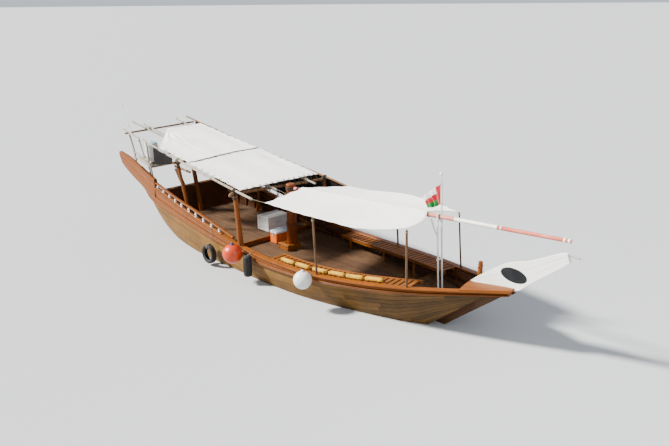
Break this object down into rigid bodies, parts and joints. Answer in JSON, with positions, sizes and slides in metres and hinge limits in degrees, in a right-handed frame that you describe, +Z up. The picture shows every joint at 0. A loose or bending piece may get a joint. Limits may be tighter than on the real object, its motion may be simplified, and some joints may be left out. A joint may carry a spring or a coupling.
{
  "type": "dhow sailing boat",
  "caption": "Wooden dhow for day trips: raked stem with a plank head, transom stern with wing boards, open decks under canvas awnings on poles, hung rudder, propeller and short mast.",
  "frame": {"origin": "on the waterline, on the boat's centre plane amidships", "axes": "+X towards the bow, +Y to port, +Z up"},
  "size_m": [17.1484, 4.2284, 5.2136],
  "materials": {
    "black_rubber": "matte",
    "bronze": "satin",
    "canvas": "matte",
    "dark_cloth": "matte",
    "dark_timber": "satin",
    "deck_wood": "matte",
    "engine_iron": "painted",
    "flag_cloth": "matte",
    "mast_paint": "painted satin",
    "orange_plastic": "satin",
    "orange_vinyl": "satin",
    "pale_poles": "weathered",
    "rough_poles": "rough",
    "spar_paint": "painted satin",
    "steel": "satin",
    "varnished_wood": "varnished",
    "weathered_planking": "matte",
    "white_paint": "painted satin",
    "white_pipe": "satin",
    "white_plastic": "satin",
    "white_vinyl": "satin",
    "yellow_cloth": "matte"
  },
  "bodies": {
    "hull": {"antenna": "white_pipe", "awning_aft": "canvas", "awning_battens": "pale_poles", "awning_fore": "canvas", "awning_mid": "canvas", "balusters_port": "white_paint", "balusters_starboard": "white_paint", "beam_aft": "rough_poles", "beam_mid": "rough_poles", "bench_port": "deck_wood", "bench_starboard": "deck_wood", "bolsters": "yellow_cloth", "bow_deck": "varnished_wood", "cap_port": "varnished_wood", "cap_starboard": "varnished_wood", "cool_box": "orange_plastic", "curtain_port": "dark_cloth", "curtain_starboard": "dark_cloth", "deck_aft": "deck_wood", "deck_fore": "deck_wood", "deck_main": "deck_wood", "drum": "white_plastic", "edge_pole_port": "pale_poles", "edge_pole_starboard": "pale_poles", "engine": "engine_iron", "fender_black": "black_rubber", "fender_orange": "orange_vinyl", "fender_tyre": "black_rubber", "fender_white": "white_vinyl", "flag": "flag_cloth", "flagstaff": "white_pipe", "helm_post": "varnished_wood", "hull_shell": "weathered_planking", "ice_chest": "white_plastic", "keel": "dark_timber", "mast": "mast_paint", "post_aft_port": "varnished_wood", "post_aft_starboard": "varnished_wood", "post_mid_port": "varnished_wood", "post_mid_starboard": "varnished_wood", "rail_port": "varnished_wood", "rail_starboard": "varnished_wood", "ridge_spar": "spar_paint", "samson_post": "varnished_wood", "stake_fore_port": "rough_poles", "stake_fore_starboard": "rough_poles", "stake_mid_port": "rough_poles", "stake_mid_starboard": "rough_poles", "stem_head": "white_paint", "stem_post": "dark_timber", "stern_frame": "pale_poles", "transom": "weathered_planking", "wale_port": "varnished_wood", "wale_starboard": "varnished_wood"},
    "rudder": {"rudder": "dark_timber", "tiller": "varnished_wood"},
    "propeller": {"propeller": "bronze", "propeller_shaft": "steel"},
    "chest_lid": {"ice_chest_lid": "white_plastic"}
  },
  "joints": [
    {"name": "rudder_swing", "type": "hinge", "parent": "hull", "child": "rudder", "pos_m": [-5.17, 0, 0], "axis": [-0.6111, 0, 0.7916], "range_deg": [-35, 35]},
    {"name": "propeller_spin", "type": "hinge", "parent": "hull", "child": "propeller", "pos_m": [-4.01, 0, -0.65], "axis": [0.9889, 0, 0.1483], "continuous": true},
    {"name": "ice_chest_lid_hinge", "type": "hinge", "parent": "hull", "child": "chest_lid", "pos_m": [-2.06, 0.98, 1.041], "axis": [-1, 0, 0], "range_deg": [0, 100]}
  ]
}
